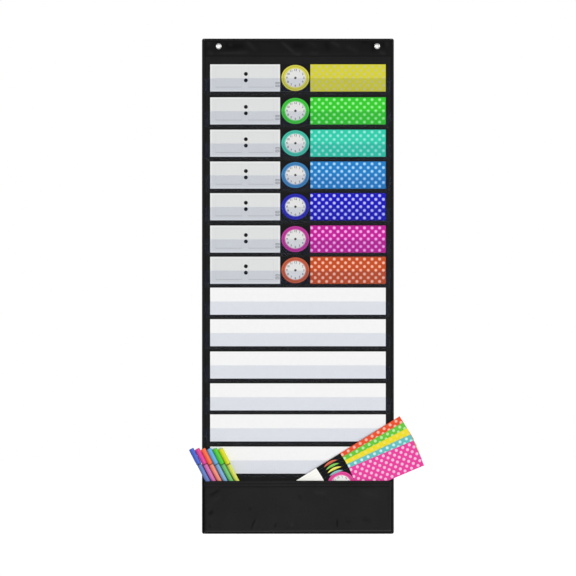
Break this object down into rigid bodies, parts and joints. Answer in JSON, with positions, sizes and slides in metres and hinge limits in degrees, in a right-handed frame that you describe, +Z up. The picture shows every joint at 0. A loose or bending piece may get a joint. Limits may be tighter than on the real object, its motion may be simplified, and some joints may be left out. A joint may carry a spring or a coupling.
{
  "type": "pocket chart",
  "caption": "Black hanging pocket chart with eyelets, clear pockets holding coloured schedule strips and blank cards, and a cloth pocket with spare strips and pens.",
  "frame": {"origin": "on the wall plane, midway between the two eyelets and at the height of their centres", "axes": "+Z up, +X to the right seen from the room, the chart's front faces -Y and its back lies on the wall at y = 0"},
  "size_m": [0.4038, 0.0162, 0.853],
  "materials": {
    "black_cloth": "matte woven black cloth",
    "binding_tape": "folded black binding tape, slightly glossy",
    "nickel": "bright nickel plate",
    "clear_film": "clear flexible film with a faint blue cast",
    "white_card": "smooth blank white card",
    "strip_yellow": "coated card printed with a pale panel, a black panel with a clock face and a dotted panel",
    "strip_green": "coated card printed with a pale panel, a black panel with a clock face and a dotted panel",
    "strip_teal": "coated card printed with a pale panel, a black panel with a clock face and a dotted panel",
    "strip_blue": "coated card printed with a pale panel, a black panel with a clock face and a dotted panel",
    "strip_indigo": "coated card printed with a pale panel, a black panel with a clock face and a dotted panel",
    "strip_magenta": "coated card printed with a pale panel, a black panel with a clock face and a dotted panel",
    "strip_orange": "coated card printed with a pale panel, a black panel with a clock face and a dotted panel",
    "spare_orange": "coated card printed with a pale panel, a black panel with a clock face and a dotted panel",
    "spare_green": "coated card printed with a pale panel, a black panel with a clock face and a dotted panel",
    "spare_yellow": "coated card printed with a pale panel, a black panel with a clock face and a dotted panel",
    "spare_teal": "coated card printed with a pale panel, a black panel with a clock face and a dotted panel",
    "spare_pink": "coated card printed with a pale panel, a black panel with a clock face and a dotted panel",
    "pen_cap_blue": "moulded coloured plastic",
    "pen_barrel_blue": "moulded coloured plastic, paler than the cap",
    "pen_cap_pink": "moulded coloured plastic",
    "pen_barrel_pink": "moulded coloured plastic, paler than the cap",
    "pen_cap_orange": "moulded coloured plastic",
    "pen_barrel_orange": "moulded coloured plastic, paler than the cap",
    "pen_cap_sky": "moulded coloured plastic",
    "pen_barrel_sky": "moulded coloured plastic, paler than the cap",
    "pen_cap_green": "moulded coloured plastic",
    "pen_barrel_green": "moulded coloured plastic, paler than the cap",
    "pen_cap_lime": "moulded coloured plastic",
    "pen_barrel_lime": "moulded coloured plastic, paler than the cap"
  },
  "bodies": {
    "chart": {"back_panel": "black_cloth", "header_hem": "black_cloth", "storage_pocket": "black_cloth", "storage_pocket_hem": "black_cloth", "binding_left": "binding_tape", "binding_right": "binding_tape", "binding_top": "binding_tape", "binding_bottom": "binding_tape", "eyelet_left": "nickel", "eyelet_right": "nickel", "eyelet_washer_left": "nickel", "eyelet_washer_right": "nickel", "clear_pocket_01": "clear_film", "clear_pocket_02": "clear_film", "clear_pocket_03": "clear_film", "clear_pocket_04": "clear_film", "clear_pocket_05": "clear_film", "clear_pocket_06": "clear_film", "clear_pocket_07": "clear_film", "clear_pocket_08": "clear_film", "clear_pocket_09": "clear_film", "clear_pocket_10": "clear_film", "clear_pocket_11": "clear_film", "clear_pocket_12": "clear_film", "clear_pocket_13": "clear_film"},
    "row_card_01": {"row_card_01": "strip_yellow"},
    "row_card_02": {"row_card_02": "strip_green"},
    "row_card_03": {"row_card_03": "strip_teal"},
    "row_card_04": {"row_card_04": "strip_blue"},
    "row_card_05": {"row_card_05": "strip_indigo"},
    "row_card_06": {"row_card_06": "strip_magenta"},
    "row_card_07": {"row_card_07": "strip_orange"},
    "row_card_08": {"row_card_08": "white_card"},
    "row_card_09": {"row_card_09": "white_card"},
    "row_card_10": {"row_card_10": "white_card"},
    "row_card_11": {"row_card_11": "white_card"},
    "row_card_12": {"row_card_12": "white_card"},
    "row_card_13": {"row_card_13": "white_card"},
    "spare_card_orange": {"spare_card_orange": "spare_orange"},
    "spare_card_green": {"spare_card_green": "spare_green"},
    "spare_card_yellow": {"spare_card_yellow": "spare_yellow"},
    "spare_card_teal": {"spare_card_teal": "spare_teal"},
    "spare_card_pink": {"spare_card_pink": "spare_pink"},
    "pen_blue": {"pen_barrel_blue": "pen_barrel_blue"},
    "pen_cap_blue": {"pen_cap_blue": "pen_cap_blue"},
    "pen_pink": {"pen_barrel_pink": "pen_barrel_pink"},
    "pen_cap_pink": {"pen_cap_pink": "pen_cap_pink"},
    "pen_orange": {"pen_barrel_orange": "pen_barrel_orange"},
    "pen_cap_orange": {"pen_cap_orange": "pen_cap_orange"},
    "pen_sky": {"pen_barrel_sky": "pen_barrel_sky"},
    "pen_cap_sky": {"pen_cap_sky": "pen_cap_sky"},
    "pen_green": {"pen_barrel_green": "pen_barrel_green"},
    "pen_cap_green": {"pen_cap_green": "pen_cap_green"},
    "pen_lime": {"pen_barrel_lime": "pen_barrel_lime"},
    "pen_cap_lime": {"pen_cap_lime": "pen_cap_lime"}
  },
  "joints": [
    {"name": "row_card_01_lift", "type": "slide", "parent": "chart", "child": "row_card_01", "axis": [0, -0.0349, 0.9994], "range_m": [0, 0.03]},
    {"name": "row_card_02_lift", "type": "slide", "parent": "chart", "child": "row_card_02", "axis": [0, -0.0349, 0.9994], "range_m": [0, 0.03]},
    {"name": "row_card_03_lift", "type": "slide", "parent": "chart", "child": "row_card_03", "axis": [0, -0.0349, 0.9994], "range_m": [0, 0.03]},
    {"name": "row_card_04_lift", "type": "slide", "parent": "chart", "child": "row_card_04", "axis": [0, -0.0349, 0.9994], "range_m": [0, 0.03]},
    {"name": "row_card_05_lift", "type": "slide", "parent": "chart", "child": "row_card_05", "axis": [0, -0.0349, 0.9994], "range_m": [0, 0.03]},
    {"name": "row_card_06_lift", "type": "slide", "parent": "chart", "child": "row_card_06", "axis": [0, -0.0349, 0.9994], "range_m": [0, 0.03]},
    {"name": "row_card_07_lift", "type": "slide", "parent": "chart", "child": "row_card_07", "axis": [0, -0.0349, 0.9994], "range_m": [0, 0.03]},
    {"name": "row_card_08_lift", "type": "slide", "parent": "chart", "child": "row_card_08", "axis": [0, -0.0349, 0.9994], "range_m": [0, 0.03]},
    {"name": "row_card_09_lift", "type": "slide", "parent": "chart", "child": "row_card_09", "axis": [0, -0.0349, 0.9994], "range_m": [0, 0.03]},
    {"name": "row_card_10_lift", "type": "slide", "parent": "chart", "child": "row_card_10", "axis": [0, -0.0349, 0.9994], "range_m": [0, 0.03]},
    {"name": "row_card_11_lift", "type": "slide", "parent": "chart", "child": "row_card_11", "axis": [0, -0.0349, 0.9994], "range_m": [0, 0.03]},
    {"name": "row_card_12_lift", "type": "slide", "parent": "chart", "child": "row_card_12", "axis": [0, -0.0349, 0.9994], "range_m": [0, 0.03]},
    {"name": "row_card_13_lift", "type": "slide", "parent": "chart", "child": "row_card_13", "axis": [0, -0.0349, 0.9994], "range_m": [0, 0.03]},
    {"name": "spare_card_orange_pull", "type": "slide", "parent": "chart", "child": "spare_card_orange", "axis": [0.849, 0, 0.5284], "range_m": [0, 0.149]},
    {"name": "spare_card_green_pull", "type": "slide", "parent": "chart", "child": "spare_card_green", "axis": [0.8695, 0, 0.4939], "range_m": [0, 0.162]},
    {"name": "spare_card_yellow_pull", "type": "slide", "parent": "chart", "child": "spare_card_yellow", "axis": [0.8878, 0, 0.4602], "range_m": [0, 0.177]},
    {"name": "spare_card_teal_pull", "type": "slide", "parent": "chart", "child": "spare_card_teal", "axis": [0.9056, 0, 0.4242], "range_m": [0, 0.195]},
    {"name": "spare_card_pink_pull", "type": "slide", "parent": "chart", "child": "spare_card_pink", "axis": [0.9212, 0, 0.3891], "range_m": [0, 0.215]},
    {"name": "pen_blue_pull", "type": "slide", "parent": "chart", "child": "pen_blue", "axis": [-0.4602, 0, 0.8878], "range_m": [0, 0.097]},
    {"name": "pen_cap_blue_pull", "type": "slide", "parent": "pen_blue", "child": "pen_cap_blue", "axis": [-0.4602, 0, 0.8878], "range_m": [0, 0.028]},
    {"name": "pen_pink_pull", "type": "slide", "parent": "chart", "child": "pen_pink", "axis": [-0.4602, 0, 0.8878], "range_m": [0, 0.097]},
    {"name": "pen_cap_pink_pull", "type": "slide", "parent": "pen_pink", "child": "pen_cap_pink", "axis": [-0.4602, 0, 0.8878], "range_m": [0, 0.028]},
    {"name": "pen_orange_pull", "type": "slide", "parent": "chart", "child": "pen_orange", "axis": [-0.4602, 0, 0.8878], "range_m": [0, 0.097]},
    {"name": "pen_cap_orange_pull", "type": "slide", "parent": "pen_orange", "child": "pen_cap_orange", "axis": [-0.4602, 0, 0.8878], "range_m": [0, 0.028]},
    {"name": "pen_sky_pull", "type": "slide", "parent": "chart", "child": "pen_sky", "axis": [-0.4602, 0, 0.8878], "range_m": [0, 0.097]},
    {"name": "pen_cap_sky_pull", "type": "slide", "parent": "pen_sky", "child": "pen_cap_sky", "axis": [-0.4602, 0, 0.8878], "range_m": [0, 0.028]},
    {"name": "pen_green_pull", "type": "slide", "parent": "chart", "child": "pen_green", "axis": [-0.4602, 0, 0.8878], "range_m": [0, 0.097]},
    {"name": "pen_cap_green_pull", "type": "slide", "parent": "pen_green", "child": "pen_cap_green", "axis": [-0.4602, 0, 0.8878], "range_m": [0, 0.028]},
    {"name": "pen_lime_pull", "type": "slide", "parent": "chart", "child": "pen_lime", "axis": [-0.4602, 0, 0.8878], "range_m": [0, 0.097]},
    {"name": "pen_cap_lime_pull", "type": "slide", "parent": "pen_lime", "child": "pen_cap_lime", "axis": [-0.4602, 0, 0.8878], "range_m": [0, 0.028]}
  ]
}
